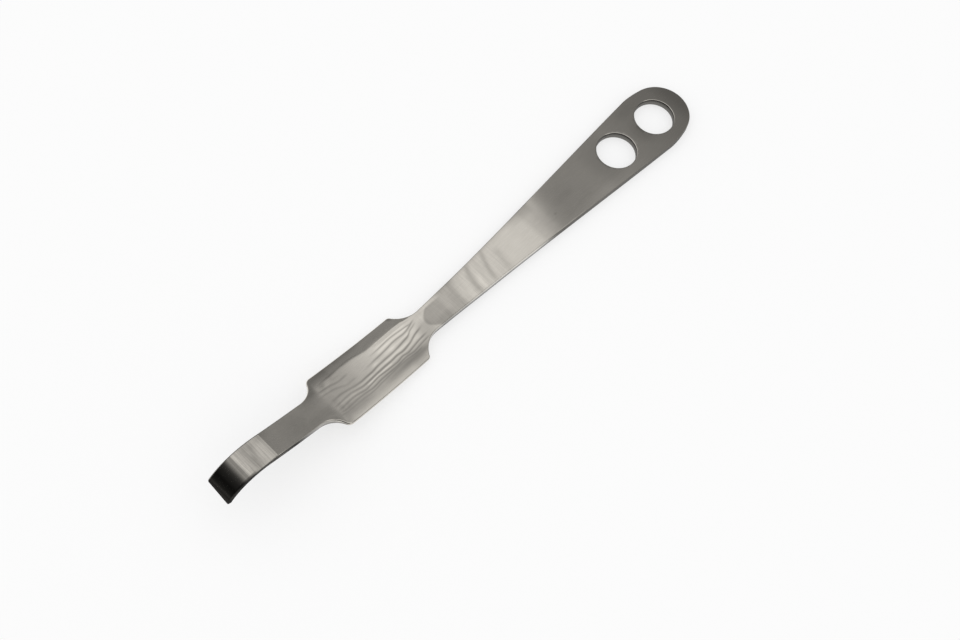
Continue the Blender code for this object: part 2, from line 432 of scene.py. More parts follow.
    def half_outline(self) -> Array:
        """Lays out one edge of the forging, as if it were flat, from the round end round to the tip's corner.

        Returns:
            Rows of distance along the spine and half width.
        """
        points = self.handle.half_outline(self.blade.neck_width)
        points += self.blade.near_shoulder.half_outline(self.blade_start)[1:]
        far = self.blade.far_shoulder.half_outline(self.blade_end)
        points += straight(points[-1], far[0], self.blade_rows)[:-1] + far
        half, corner = self.blade.tongue_width / 2, self.hook.tip_corner
        hook, straight_end = (self.hook_start, half), self.tip_at - corner
        points += straight((self.tongue_start, half), hook, self.tongue_rows)
        points += straight(hook, (straight_end, self.hook.tip_width / 2), self.hook_rows)
        for angle in np.linspace(0.0, math.pi / 2, CORNER_POINTS)[1:]:
            half = self.hook.tip_width / 2 - corner * (1.0 - math.cos(angle))
            points.append((straight_end + corner * math.sin(angle), half))
        return np.array(points)


class Run(Enum):
    """Which way a streak runs."""

    ALONG = "along the spine"
    ACROSS = "across the spine"


class Mark:
    """Something that makes the steel darker or lighter: mostly painted reflection, highlight and shade, with a few
    real specks.
    """

    tone: float

    def strength(self, along: Array, across: Array) -> Array:
        """How much of the mark each point has, from 0 to 1.

        Args:
            along: Distances along the spine.
            across: Distances to the side.

        Returns:
            The share of the mark's tone at each point.
        """
        raise NotImplementedError

    def factor(self, along: Array, across: Array, share: Array | float = 1.0) -> Array:
        """What the mark multiplies the brightness by, where it has the given share of its tone."""
        return 1.0 + self.tone * share * self.strength(along, across)


@dataclass(frozen=True)
class Streak(Mark):
    """A flow line of the forging, or a stripe that polishing left: a little real depth, with a tone that paints its
    reflection as a darker or lighter line.

    The path gives the distance that the streak runs through, and its offset to the side there.
    """

    path: Path
    half_width: float
    tone: float
    depth: float = 0.0
    run: Run = Run.ALONG
    fade: float = 2.0
    tail: float = 2.0

    def strength(self, along: Array, across: Array) -> Array:
        """How much of the streak's tone and depth each point has."""
        forward, sideways = (along, across) if self.run is Run.ALONG else (across, along)
        start, end = self.path[0][0], self.path[-1][0]
        stations = np.arange(start - PATH_OVERRUN, end + PATH_OVERRUN, PATH_STEP)
        offsets = np.pad(follow(self.path, stations), PATH_SMOOTHING // 2, mode="edge")
        smooth = np.convolve(offsets, np.full(PATH_SMOOTHING, 1.0 / PATH_SMOOTHING), mode="valid")
        middle = np.interp(forward, stations, smooth)
        ends = rise(forward, start, start + self.fade) * rise(forward, end, end - max(self.fade, self.tail))
        return ends * hump(sideways, middle, self.half_width)


@dataclass(frozen=True)
class Patch(Mark):
    """A round or oval area that is darker or lighter: small ones are real specks, larger ones painted reflection,
    highlight and shade.
    """

    centre: tuple[float, float]
    radii: tuple[float, float]
    tone: float
    softness: float = 1.0

    def strength(self, along: Array, across: Array) -> Array:
        """How much of the patch each point has."""
        reach = np.hypot((along - self.centre[0]) / self.radii[0], (across - self.centre[1]) / self.radii[1])
        return rise(reach, 1.0 + self.softness / 2, 1.0 - self.softness / 2)


@dataclass(frozen=True)
class Zone(Mark):
    """An area with a tone or a weight, between ramps that each run from no effect to the full one."""

    tone: float
    along: tuple[Ramp, ...]
    across: tuple[Ramp, ...] = ()

    def strength(self, along: Array, across: Array) -> Array:
        """How much of the zone each point has."""
        return math.prod([rise(along, *ramp) for ramp in self.along] + [rise(across, *ramp) for ramp in self.across])


# Flow lines along the blade: a little real groove depth, and a tone that paints the ripples' reflection as darker and
# lighter lines.
BLADE_LINES = (
    Streak(((148, -4.6), (151, -4.9), (156, -5.1), (161, -5), (166, -4.8)), 0.28, -0.16, 0.01, tail=6),
    Streak(((150, -5.5), (154, -5.75), (160, -5.7), (166, -5.4)), 0.28, -0.12, 0.01),
    Streak(((148.6, -3), (152.5, -3.4), (157, -3.9), (160, -3.9), (165, -3.5), (171, -3.2)), 0.3, -0.4, 0.025, tail=8),
    Streak(((146.2, -3.5), (148, -3.2), (151.3, -2.1), (153.8, -1.7), (157.2, -2), (159.7, -1.9), (162.6, -1.5),
            (165.9, -1.25), (168.8, -1.1), (173, -0.7), (176, -0.5)), 0.4, -0.46, 0.035, fade=3, tail=10),
    Streak(((146.2, -2.6), (148.4, -1.9), (151.3, -1.1), (153.4, 0.1), (156.3, 0.4), (158.8, 0.8), (163, 1.1),
            (169.7, 1.25), (172.2, 1.7), (175.5, 1.8), (178.4, 2), (181.3, 1.75), (183.8, 1.25), (186.8, 0.9),
            (189.7, 1.1), (192, 1.2)), 0.4, -0.5, 0.04, fade=4),
    Streak(((146, 0.2), (151.3, 1.25), (153.4, 2.1), (156.3, 2.8), (158.8, 3.1), (161.3, 2.8), (164.7, 3.1),
            (168, 3.1), (172.2, 3.3), (175.5, 3.6), (178.8, 3.75), (181.3, 3.4), (183.8, 2.9), (186.8, 3),
            (189.7, 3.3), (193, 3.7)), 0.42, -0.52, 0.04, fade=4),
    Streak(((146, 3.4), (151.3, 3.8), (154.2, 4.25), (157.6, 4.75), (160.1, 4.25), (162.6, 4.8), (168, 4.7),
            (172.2, 4.5), (175.5, 4.9), (178.8, 5.3), (182.6, 4.75), (185.5, 4.6), (188.8, 4.9), (193, 5.3)), 0.36,
            -0.44, 0.035, fade=4),
    Streak(((146, 5), (151.3, 5.2), (155.5, 5.7), (159.7, 5.3), (163.8, 5.7), (168, 5.7), (172.2, 5.8), (176.3, 6.3),
            (180.5, 6), (184.7, 6), (188.8, 6.25), (193, 6.1)), 0.32, -0.4, 0.03, fade=4),
    Streak(((151.3, 6.25), (155.5, 6.5), (159.7, 6.1), (165.9, 6.3), (172.2, 6.7), (176.3, 7.2), (182.6, 7.1),
            (188.8, 7.2), (193, 6.9)), 0.3, -0.26, 0.02),
    Streak(((177, -0.4), (179.7, -0.5), (182.6, -0.3), (184.7, -1.1), (187.2, -1.9), (189.7, -2.3), (194, -2.5)), 0.42,
            -0.26, 0.025, fade=3),
    Streak(((178.5, -3.6), (180.5, -3.5), (183.8, -3.2), (186.3, -3.7), (188.8, -4.2), (194, -4.2)), 0.42, -0.24,
            0.025, fade=3),
    Streak(((181, -5), (182.6, -5.1), (186.8, -5.3), (193, -5.1)), 0.3, -0.1, 0.01),
    Streak(((183, -5.8), (187, -5.9), (192.5, -5.6)), 0.25, -0.1, 0.01),
    Streak(((148, -2.3), (152, -0.6), (155, -0.7), (160, -0.4), (166, 0), (172, 0.5)), 0.45, 0.2),
    Streak(((150, -4.2), (155, -4.4), (161, -4.4), (167, -4.1)), 0.4, 0.12),
    Streak(((150, -2.8), (155, -2.8), (161, -2.8), (167, -2.4)), 0.45, 0.16),
    Streak(((151, 2.4), (156, 1.7), (161, 1.95), (168, 2.2), (176, 2.7)), 0.4, 0.08),
    Streak(((164, 4), (168, 3.9), (173, 4), (178, 4.5)), 0.38, 0.3),
)

# Bands across the handle from the forging: a faint real relief, and a tone that paints their reflection as darker and
# lighter bands.
HANDLE_STREAKS = tuple(
    Streak(path, half_width, tone, depth, Run.ACROSS, 4)
    for path, half_width, tone, depth in (
        (((-5, 104.7), (0, 105.1), (3, 105.9), (9, 106.3)), 1.5, -0.16, 0.003),
        (((-8, 109.3), (-5, 110), (-3, 110.8), (0, 112), (3, 113), (6, 113.2), (8, 113.1)), 1.05, -0.26, 0.006),
        (((-8, 114), (-3, 114.9), (0, 115.3), (3, 115.9), (8, 116)), 0.8, -0.1, 0.003),
        (((-8, 117.4), (-5, 118), (-3, 119.2), (0, 120), (3, 120.7), (8, 120.6)), 1.25, -0.3, 0.006),
        (((-2, 116.9), (0, 117.3), (3, 118), (8, 118.1)), 1, 0.16, 0),
        (((-8, 122), (-3, 124), (0, 124.6), (3, 125.6), (8, 125.8)), 1, -0.06, 0.003),
        (((-9, 127.4), (-3, 128.4), (0, 128.8), (3, 129.1), (9, 129.4)), 2.1, -0.3, 0.006),
        (((-9, 131.9), (0, 131.9), (9, 132.3)), 1.8, -0.16, 0.004),
    )
)

# Small real specks, and larger patches of painted reflection: the lighter ones painted highlights, the darker ones
# painted shade.
SPECKS_AND_PAINTED_REFLECTIONS = (
    Patch((138, 4.6), (5.5, 2.4), -0.12),
    Patch((141.5, -4.9), (5, 1.1), 0.2, 0.9),
    Patch((146.6, 2.6), (3, 3.6), -0.24, 1.2),
    Patch((132.4, 0.4), (3.2, 7), -0.1, 1.2),
    Patch((195.1, 8.5), (1.5, 1.2), 0.5),
    Patch((189.2, -5.8), (3.2, 1.3), 0.4),
    Patch((165, 0.2), (3.6, 0.9), -0.16),
    Patch((190.2, 5), (1.7, 2.3), 0.18),
    Patch((198.5, 5.6), (4.2, 1.3), 0.15),
    Patch((191.2, -3.5), (2.2, 1.8), 0.2),
    Patch((155.5, 9.5), (3.5, 1.6), -0.16),
    Patch((156.5, 0), (3.5, 1.4), -0.12),
    Patch((158, -1.5), (11, 5), 0.08, 1.2),
    Patch((226.4, -1.8), (2.2, 3.4), -0.2, 1.4),
    Patch((226.9, 3), (1.5, 3), -0.26, 1.4),
    Patch((223, -4.4), (5.5, 2.2), -0.14, 1.2),
    Patch((204.5, 0), (6, 6), -0.1, 1.4),
    Patch((56, 9.8), (16, 2.4), 0.16, 1.8),
    Patch((1, 0), (5, 12), -0.24, 1.6),
    Patch((46.5, -2.5), (6.5, 9), -0.13, 1.5),
    Patch((24, 1), (3.5, 5), -0.14, 1.4),
    Patch((22, -9.5), (5, 2.2), -0.07, 1.4),
    Patch((46, 8.6), (5, 2), -0.05, 1.4),
    Patch((61.5, 6), (0.5, 0.45), -0.16),
    Patch((77, 2.5), (0.5, 0.45), -0.16),
    Patch((36, -7.4), (0.6, 0.5), -0.14),
    Patch((70, -0.4), (5.5, 1.7), -0.05, 1.2),
)

# Lines painted across the hook: a painted highlight with a painted dark reflection beside it where the tip's bevel
# starts, and fainter painted reflections where the hook turns down.
HOOK_PAINTED_LINES = (
    Streak(((-6, 220.3), (6, 220.2)), 0.55, -0.26, 0, Run.ACROSS, 0.3),
    Streak(((-6, 231.1), (6, 231.15)), 0.35, 0.14, 0, Run.ACROSS, 0.3),
    Streak(((-6, 229.2), (6, 229.2)), 0.3, -0.06, 0, Run.ACROSS, 0.3),
    Streak(((-6, 241.3), (6, 241)), 0.4, 0.7, 0, Run.ACROSS, 0.3),
    Streak(((-6, 242.2), (6, 241.9)), 0.35, -0.35, 0, Run.ACROSS, 0.3),
)

# Painted reflection and shade in areas: a lighter band on the blade, darker areas where the hook turns down and on the
# handle before the neck, and a dark band along the hook's edge.
PAINTED_LIGHT_ZONES = (
    (Zone(0.27, ((166, 178), (194.5, 191.5)), ((1, 4), (10.2, 8.2))),),
    (Zone(-0.2, ((219.8, 220.6), (233.2, 232))),),
    (Zone(-0.13, ((80, 83.5), (89.6, 86.6)), ((-12, -3),)), Zone(-0.2, ((80, 83.5), (96, 88)), ((-3, -7),))),
    (Zone(-0.6, ((227.5, 231), (240, 235)), ((4.1, 4.8),)),),
)


@dataclass(frozen=True)
class NeckPad:
    """The pad painted darker where the neck runs into the blade: its rounded end, and the rim round it."""

    end: float = 144.7
    end_bow: float = 4.6
    middle: float = 0.6
    half_width: float = 4.8
    end_ramp: Ramp = (-0.8, 0.8)
    face: Zone = Zone(-0.36, ((132.2, 136.4),), ((-4.2, -3.2),))
    rim: Zone = Zone(-0.1, (), ((-4.2, -3.2), (3.6, 1.6)))
    rim_inside: float = 0.3
    rim_half_width: float = 0.5

    def factor(self, along: Array, across: Array) -> Array:
        """What the pad multiplies the brightness by."""
        inside = self.end - self.end_bow * ((across - self.middle) / self.half_width) ** 2 - along
        face = self.face.factor(along, across, rise(inside, *self.end_ramp))
        return face * self.rim.factor(along, across, hump(inside, self.rim_inside, self.rim_half_width))


@dataclass(frozen=True)
class Waves:
    """What polishing and forging left on the top face as low relief, and the reflection and shade painted on it as
    brightness.

    A path is read at distances along the spine. The flange is the blade's flatter border at the upper left.
    """

    form: Form
    run_step: float = 0.05
    run_slopes: Path = ((0, 0), (184, 0), (188, 0.003), (190.5, 0.014), (197, 0.014), (202, 0), (206, -0.004),
                        (210, -0.006), (213, -0.004), (217.5, 0.012), (219.6, 0.016), (220.2, -0.115),
                        (222.2, -0.12), (225.4, 0), (227, 0.02), (236, 0.02), (240, 0), (245, 0))
    flange_path: Path = ((148, 5), (150, 5.5), (151, 6), (153.5, 6.3), (160, 6.2), (165.5, 6), (169, 6.3),
                         (171.5, 6.7), (174, 7.2), (178, 7.25), (181, 7), (185, 6.8), (189, 6.6), (192, 6.2),
                         (194.5, 5.3), (196.5, 4.6))
    flange_slope: Path = ((150, 0.021), (168, 0.021), (174, -0.01), (180, -0.018), (184, -0.004), (189, -0.015),
                          (194, -0.015))
    flange_blend: float = 1.2
    flange_weight: float = 0.9
    flange_sharpness: float = 1.2
    flange_run: Zone = Zone(1, ((146, 151), (200, 194)))
    start_slope: Path = ((145, 0), (146.5, 0.2), (147.5, 0.19), (148.5, 0.16), (150, 0.1), (151, 0.06),
                         (152, 0.03), (154, 0))
    start_blend: float = 0.3
    groove_fade: Zone = Zone(-0.85, ((182, 188.5),))
    line_fade: Zone = Zone(-0.45, ((174, 184),), ((-3, 0),))
    # Painted reflection along the blade, by distance along the spine: the blade darker towards its far end, the flange
    # lighter and darker in turn.
    blade_tone: Path = ((164, 1), (170, 0.88), (176, 0.76), (181, 0.63), (188, 0.6), (189.5, 0.66), (190.5, 0.77),
                        (191.5, 0.88), (192.5, 0.94), (194, 0.95))
    flange_tone: Path = ((154, 1.1), (170, 1), (185, 0.9), (188, 1.05), (190, 1.12), (193, 1.12))
    blade_side: Ramp = (10.5, 8)
    flange_edge: Ramp = (0.2, 1)
    flange_shade: Zone = Zone(1, ((146, 150), (198, 194)))
    # A painted highlight: a faint lighter band across the blade where its lines end.
    painted_highlight_tone: float = 0.08
    painted_highlight_at: float = 191.8
    painted_highlight_half_width: float = 2.2
    painted_highlight_side: Ramp = (1.5, 3.5)
    # Painted shade: a darker band near the blade's edge away from the flange, strongest at its near end.
    trough_shade: Path = ((146, 0), (152, 0.42), (160, 0.44), (166, 0.28), (172, 0.08), (190, 0.04), (196, 0))
    trough_middle: Path = ((150, 7.3), (160, 7.3), (190, 8.2))
    trough_half_width: float = 1.35
    # A painted highlight: the tongue lighter just before the hook turns down.
    tongue_end_tone: Path = ((213, 1), (217, 1.2), (219.3, 1.3), (219.8, 1))
    # Painted shade: a darker band along the neck's edge on the flange's side.
    margin: Zone = Zone(-0.24, ((80, 84), (150, 144)))
    margin_path: Path = ((78, -9.2), (143.8, -5), (150, -6))
    margin_half_width: float = 1.4
    ground: tuple[Zone, ...] = (Zone(1, ((219.5, 222), (233.5, 232))), Zone(0.45, ((100, 108), (150, 140))))

    def relief(self, along: Array, across: Array) -> Array:
        """The height that is added to the plain top face.

        Args:
            along: Distances along the spine.
            across: Distances to the side.

        Returns:
            Heights in millimetres, which are negative in grooves.
        """
        stations = np.arange(0.0, self.form.tip_at + 0.1, self.run_step)
        run = np.interp(along, stations, np.cumsum(follow(self.run_slopes, stations)) * self.run_step)

        past = -across - follow(self.flange_path, along)
        slope = follow(self.flange_slope, along) * self.flange_run.strength(along, across) * self.flange_weight
        flange = -slope * self.flange_blend * (1.0 + np.tanh(self.flange_sharpness * past / self.flange_blend))
        start = np.log1p(np.exp(np.clip(past / self.start_blend, -30.0, 30.0)))
        flange -= follow(self.start_slope, along) * self.start_blend * start

        grooves = sum(line.depth * line.strength(along, across) for line in BLADE_LINES + HANDLE_STREAKS)
        return run + flange - grooves * self.groove_fade.factor(along, across)

    def burnish(self, along: Array, across: Array) -> Array:
        """Painted reflection, highlight and shade on the steel, with its few real specks, as a brightness where 1 is
        plain.

        Args:
            along: Distances along the spine.
            across: Distances to the side.

        Returns:
            Factors for the steel's colour.
        """
        # Painted reflection, highlight and shade from the pad, bands, lines, patches and zones; only the smallest
        # patches are real specks.
        tone = NeckPad().factor(along, across) * follow(self.tongue_end_tone, along)
        for mark in HANDLE_STREAKS + HOOK_PAINTED_LINES + SPECKS_AND_PAINTED_REFLECTIONS:
            tone *= mark.factor(along, across)
        line_share = self.line_fade.factor(along, across)
        for line in BLADE_LINES:
            tone *= line.factor(along, across, line_share)
        for zones in PAINTED_LIGHT_ZONES:
            tone *= 1.0 + sum(zone.tone * zone.strength(along, across) for zone in zones)

        # Painted reflection: the blade and its flange darker and lighter along the spine.
        flange = rise(-across - follow(self.flange_path, along), *self.flange_edge)
        flange *= self.flange_shade.strength(along, across)
        tone *= towards(follow(self.blade_tone, along), (1.0 - flange) * rise(across, *self.blade_side))
        tone *= towards(follow(self.flange_tone, along), flange)
        # Painted highlight across the blade, left off the flange.
        painted_highlight = rise(np.abs(across), *self.painted_highlight_side) * hump(along, self.painted_highlight_at, self.painted_highlight_half_width)
        tone *= 1.0 + self.painted_highlight_tone * painted_highlight * (1.0 - flange)

        # Painted shade in a band along the blade's side and one along the neck's edge.
        trough = hump(across, follow(self.trough_middle, along), self.trough_half_width)
        margin = hump(across, follow(self.margin_path, along), self.margin_half_width)
        return tone * (1.0 - follow(self.trough_shade, along) * trough) * self.margin.factor(along, across, margin)

    def cross_grain(self, along: Array, across: Array) -> Array:
        """How plainly the marks of grinding across the instrument show, from 0 to 1."""
        return sum(zone.tone * zone.strength(along, across) for zone in self.ground)


class SkinSheet:
    """Points and faces on their way into a mesh."""

    def __init__(self) -> None:
        """Starts without points."""
        self.points: list[Array] = []
        self.count = 0
        self.faces: list[list[int]] = []
        self.surfaces: list[int] = []

    def add_points(self, points: Array) -> Array:
        """Adds points and gives their numbers in the same layout."""
        shape = points.shape[:-1]
        total = int(np.prod(shape))
        numbers = np.arange(self.count, self.count + total).reshape(shape)
        self.points.append(points.reshape(-1, 3))
        self.count += total
        return numbers

    def add_grid(self, numbers: Array, surface: Surface) -> None:
        """Joins neighbouring points of a grid into faces."""
        quads = np.stack((numbers[:-1, :-1], numbers[1:, :-1], numbers[1:, 1:], numbers[:-1, 1:]), axis=-1)
        quads = quads.reshape(-1, 4).tolist()
        self.faces += quads
        self.surfaces += [surface.value] * len(quads)

    def add_end(self, upper: Array, lower: Array, walls: list[list[int]]) -> None:
        """Closes the tip with faces from a fine upper row to a coarser lower row.

        Args:
            upper: Numbers of the points along the upper edge.
            lower: Numbers of the points along the lower edge.
            walls: The points between the two edges at each side.
        """
        ratio = (len(upper) - 1) // (len(lower) - 1)
        last = len(lower) - 2
        for index in range(last + 1):
            face = list(upper[index * ratio : (index + 1) * ratio + 1])
            if index == last:
                face += walls[1]
            face += [lower[index + 1], lower[index]]
            if index == 0:
                face += walls[0][::-1]
            self.faces.append([int(number) for number in face])
            self.surfaces.append(Surface.SIDE.value)

    def mesh(self, name: str) -> bpy.types.Mesh:
        """Makes the mesh and joins the points that coincide.

        Args:
            name: The mesh's name.

        Returns:
            A closed mesh, in metres.
        """
        mesh = bpy.data.meshes.new(name)
        mesh.from_pydata((np.vstack(self.points) * MM).tolist(), [], self.faces)
        mesh.polygons.foreach_set("material_index", self.surfaces)
        shell = bmesh.new()
        shell.from_mesh(mesh)
        bmesh.ops.remove_doubles(shell, verts=shell.verts, dist=SAME_POINT)
        bmesh.ops.dissolve_degenerate(shell, edges=shell.edges, dist=NO_LENGTH)
        bmesh.ops.recalc_face_normals(shell, faces=shell.faces)
        shell.to_mesh(mesh)
        shell.free()
        return mesh


@dataclass(frozen=True)
class ForgedSkin:
    """Builds the closed mesh of the forging from rows across its spine."""

    form: Form
    waves: Waves
    rounding: float = 0.35
    rounding_below: float = 0.15
    rounding_steps: int = 5
    top_columns: int = 120
    under_columns: int = 24
    wall_loops: int = 2

    def rounded(self, rounding: float) -> tuple[Array, Array]:
        """Steps of a rounded edge: how far in from the outline, and how far below the face."""
        angle = np.linspace(0.0, math.pi / 2, self.rounding_steps + 1)
        return rounding * (1.0 - np.cos(angle)), rounding * (1.0 - np.sin(angle))

    def rows(self, outline: Array, columns: int, rounding: float) -> tuple[Array, Array, Array]:
        """Lays a grid over the plan, with columns that follow the rounded edges.

        Args:
            outline: Rows of distance along the spine and half width.
            columns: The number of strips between the two rounded edges.
            rounding: The radius of the rounded edges.

        Returns:
            The distance along, the distance across and the drop below the face, each by row and column.
        """
        tangent = np.gradient(outline, axis=0)
        tangent[0], tangent[-1] = (0.0, 1.0), (0.0, -1.0)
        tangent /= np.linalg.norm(tangent, axis=1, keepdims=True)
        inward = np.stack((tangent[:, 1], -tangent[:, 0]), axis=1)
        depth, drop = self.rounded(rounding)
        edge = outline[:, None, :] + inward[:, None, :] * depth[None, :, None]
        share = np.linspace(-1.0, 1.0, columns + 1)
        inner = edge[:, -1, :]
        along = np.repeat(inner[:, :1], columns + 1, axis=1)
        across = inner[:, 1:] * share[None, :]
        left, right = edge[:, :-1, :], edge[:, -2::-1, :]
        along = np.hstack((left[:, :, 0], along, right[:, :, 0]))
        across = np.hstack((-left[:, :, 1], across, right[:, :, 1]))
        flat_drop = np.concatenate((drop[:-1], np.zeros(columns + 1), drop[-2::-1]))
        return along, across, np.broadcast_to(flat_drop, along.shape)

    def tip_rows(self, outline: Array, columns: int, rounding: float) -> tuple[Array, Array, Array]:
        """Lays the rounded edge across the tip, between its two corners."""
        depth, drop = self.rounded(rounding)
        share = np.linspace(-1.0, 1.0, columns + 1)
        across = np.broadcast_to(outline[-1, 1] * share, (self.rounding_steps, columns + 1))
        along = np.repeat((outline[-1, 0] - depth[-2::-1])[:, None], columns + 1, axis=1)
        return along, across, np.repeat(drop[-2::-1][:, None], columns + 1, axis=1)

    def lay_face(self, sheet: SkinSheet, surface: Surface) -> tuple[Array, Array, Array]:
        """Lays the upper or the lower face and its rounded edges.

        Args:
            sheet: Takes the points and faces.
            surface: The top or the underside.

        Returns:
            The numbers of the points, their heights, and the numbers of the last row at the tip.
        """
        on_top = surface is Surface.TOP
        columns, rounding = (self.top_columns, self.rounding) if on_top else (self.under_columns, self.rounding_below)
        face, outward = (self.form.top_height, -1.0) if on_top else (self.form.bottom_height, 1.0)
        outline = self.form.half_outline()
        along, across, drop = self.rows(outline, columns, rounding)
        height = face(along, across) + outward * drop
        if on_top:
            height += self.waves.relief(along, across) * (1.0 - drop / rounding)
        points = sheet.add_points(self.form.place(along, across, height))
        sheet.add_grid(points, surface)

        along, across, drop = self.tip_rows(outline, columns, rounding)
        tip = sheet.add_points(self.form.place(along, across, face(along, across) + outward * drop))
        steps = self.rounding_steps
        tip = np.vstack((points[-1:, steps : steps + columns + 1], tip))
        sheet.add_grid(tip, surface)
        return points, height, tip[-1]

    def build(self, name: str) -> bpy.types.Mesh:
        """Makes the closed mesh.

        Args:
            name: The mesh's name.

        Returns:
            The mesh, in metres, with its faces sorted by surface.
        """
        sheet = SkinSheet()
        top, height, top_tip = self.lay_face(sheet, Surface.TOP)
        under, under_height, under_tip = self.lay_face(sheet, Surface.UNDERSIDE)
        outline = self.form.half_outline()
        tip_walls = []
        for column, side in ((0, -1.0), (-1, 1.0)):
            loops = [top[:, column]]
            for loop in range(1, self.wall_loops + 1):
                upper, lower = height[:, column], under_height[:, column]
                level = upper + (lower - upper) * (loop / (self.wall_loops + 1))
                loops.append(sheet.add_points(self.form.place(outline[:, 0], side * outline[:, 1], level)))
            wall = np.stack([*loops, under[:, column]], axis=1)
            sheet.add_grid(wall, Surface.SIDE)
            tip_walls.append(list(wall[-1, 1:-1]))
        sheet.add_end(top_tip, under_tip, tip_walls)
        return sheet.mesh(name)


class NodeBoard:
    """Short ways to place and join shader nodes in one node tree."""

    def __init__(self, tree: bpy.types.NodeTree) -> None:
        """Works on the given tree."""
        self.tree = tree

    def add(self, kind: str, **settings: object) -> bpy.types.Node:
        """Adds a node and sets its properties."""
        node = self.tree.nodes.new(kind)
        for name, value in settings.items():
            setattr(node, name, value)
        return node

    def feed(self, node: bpy.types.Node, **values: object) -> bpy.types.Node:
        """Links or sets inputs of a node, named in small letters with underscores, and gives the node."""
        sockets = {socket.name.lower().replace(" ", "_"): socket for socket in node.inputs if socket.enabled}
        for name, value in values.items():
            self.join(sockets[name], value)
        return node

    def join(self, socket: bpy.types.NodeSocket, value: object) -> None:
        """Links an output to an input, or sets the input's own value."""
        if isinstance(value, bpy.types.NodeSocket):
            self.tree.links.new(value, socket)
        else:
            socket.default_value = value

    def math(self, operation: str, first: object, *others: object) -> object:
        """Adds a Math node for each further number and gives the last output."""
        for other in others:
            node = self.add("ShaderNodeMath", operation=operation)
            self.join(node.inputs[0], first)
            self.join(node.inputs[1], other)
            first = node.outputs[0]
        return first

    def ramp(self, value: object, start: float, end: float, low: float = 0.0, high: float = 1.0) -> object:
        """Adds a Map Range node with level ends and gives its output."""
        node = self.add("ShaderNodeMapRange", interpolation_type="SMOOTHSTEP")
        return self.feed(node, value=value, from_min=start, from_max=end, to_min=low, to_max=high).outputs[0]

    def mix(self, share: object, first: object, second: object) -> object:
        """Mixes two numbers and gives the output."""
        node = self.add("ShaderNodeMix", data_type="FLOAT")
        return self.feed(node, factor=share, a=first, b=second).outputs[0]

    def blend(self, share: object, first: object, second: object) -> object:
        """Mixes two shaders and gives the output."""
        node = self.add("ShaderNodeMixShader")
        for socket, value in zip(node.inputs, (share, first, second)):
            self.join(socket, value)
        return node.outputs[0]

    def speckle(self, stretch: tuple[float, float, float], detail: float) -> object:
        """Adds noise round 0 that is finer where the stretch is larger, and gives its output."""
        place = self.add("ShaderNodeTexCoord").outputs["Object"]
        stretched = self.feed(self.add("ShaderNodeMapping"), vector=place, scale=stretch).outputs[0]
        noise = self.feed(self.add("ShaderNodeTexNoise"), vector=stretched, scale=1.0, detail=detail)
        return self.math("SUBTRACT", noise.outputs[0], 0.5)


Pattern = Callable[[NodeBoard, object, object], tuple[object, object]]


@dataclass(frozen=True)
class SteelFinish:
    """How one kind of face of the steel looks."""

    name: str
    colour: tuple[float, float, float, float]
    roughness: float
    smudge: float
    grain: float

    def material(self) -> bpy.types.Material:
        """Builds the finish as a material."""
        material = node_material(self.name)
        board = NodeBoard(material.node_tree)
        marks = [board.add("ShaderNodeAttribute", attribute_name=name, attribute_type="GEOMETRY").outputs["Fac"]
                 for name in MARKS]
        surface = board.feed(board.add("ShaderNodeGroup", node_tree=worked_steel()), burnish=marks[0],
                             cross_grain=marks[1], colour=self.colour, roughness=self.roughness,
                             smudge=self.smudge, grain=self.grain)
        board.feed(material.node_tree.nodes["Principled BSDF"], metallic=1.0,
                   base_color=surface.outputs["Colour"], roughness=surface.outputs["Roughness"])
        return material


GRAIN = ((180.0, 2600.0, 2600.0), 3.0)
SMUDGE = ((120.0, 120.0, 120.0), 3.0)
CROSS_GRAIN = ((2400.0, 130.0, 2400.0), 2.0)
CROSS_GRAIN_SHARE = 0.65


def worked_steel() -> bpy.types.NodeTree:
    """Builds the node group that all finishes of the steel share, or gives the one that exists.

    Returns:
        A group that puts out the colour, with the painted reflection and shade that it is given, and the roughness of
        worked steel.
    """
    name = "worked_steel"
    if name in bpy.data.node_groups:
        return bpy.data.node_groups[name]
    group = bpy.data.node_groups.new(name, "ShaderNodeTree")
    labels = {"INPUT": ("Colour", "Burnish", "Cross Grain", "Roughness", "Smudge", "Grain"),
              "OUTPUT": ("Colour", "Roughness")}
    for side in labels:
        for label in labels[side]:
            kind = "NodeSocketColor" if label == "Colour" else "NodeSocketFloat"
            group.interface.new_socket(label, in_out=side, socket_type=kind)
    board = NodeBoard(group)
    entry, result = board.add("NodeGroupInput").outputs, board.add("NodeGroupOutput")
    grain = board.math("MULTIPLY", board.speckle(*GRAIN), entry["Grain"])
    smudge = board.math("MULTIPLY", board.speckle(*SMUDGE), entry["Smudge"])
    cross = board.math("MULTIPLY", board.speckle(*CROSS_GRAIN), entry["Cross Grain"], CROSS_GRAIN_SHARE)
    # Grain and smudge are real; the brightness input is painted reflection, highlight and shade.
    tone = board.math("MULTIPLY", board.math("ADD", grain, smudge, cross, 1.0), entry["Burnish"])
    tint = board.add("ShaderNodeVectorMath", operation="SCALE")
    board.join(tint.inputs[0], entry["Colour"])
    board.feed(tint, scale=tone)
    board.feed(result, colour=tint.outputs[0],
               roughness=board.math("MULTIPLY", entry["Roughness"], board.math("ADD", smudge, 1.0)))
    return group


FINISHES = {
    Surface.TOP: SteelFinish("polished_steel", (0.632, 0.60, 0.545, 1.0), 0.1, 0.14, 0.16),
    Surface.SIDE: SteelFinish("ground_edge_steel", (0.60, 0.575, 0.53, 1.0), 0.22, 0.2, 0.15),
    Surface.BORE: SteelFinish("bored_steel", (0.58, 0.56, 0.52, 1.0), 0.25, 0.2, 0.15),
    Surface.UNDERSIDE: SteelFinish("underside_steel", (0.61, 0.58, 0.53, 1.0), 0.16, 0.15, 0.1),
}


